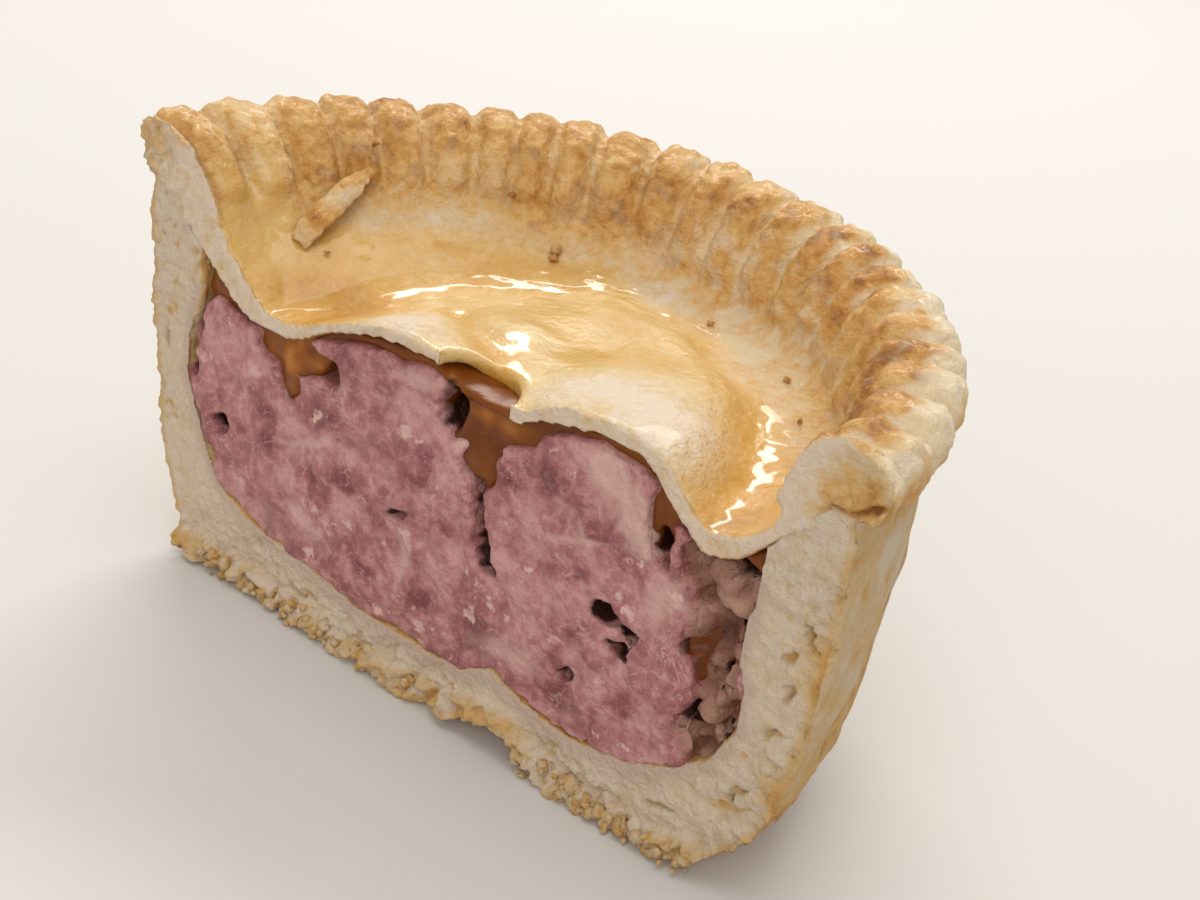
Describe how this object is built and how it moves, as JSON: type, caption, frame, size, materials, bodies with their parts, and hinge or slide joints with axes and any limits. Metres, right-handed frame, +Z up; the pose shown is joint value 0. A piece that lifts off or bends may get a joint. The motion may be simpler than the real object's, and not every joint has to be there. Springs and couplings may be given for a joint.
{
  "type": "pork pie half",
  "caption": "Half of a raised pork pie standing on its base, with a flat cut face that shows pastry, pork filling and set jelly under a crimped lid.",
  "frame": {"origin": "on the surface the pie stands on, under the middle of its bounding box", "axes": "+Z up; +X along the cut face, towards its right end as seen from in front of it; the cut face looks along -Y"},
  "size_m": [0.0998, 0.0514, 0.0534],
  "materials": {
    "case_pastry": "baked hot-water pastry, matt and crumbly, cream where it is cut",
    "pork": "cooked chopped pork, moist and pink",
    "jelly": "set pork jelly, dark amber and glossy",
    "lid_pastry": "baked pastry glazed with egg, golden and glossy"
  },
  "bodies": {
    "root": {"pastry_case": "case_pastry", "pork_filling": "pork", "jelly": "jelly", "pastry_lid": "lid_pastry"}
  },
  "joints": []
}
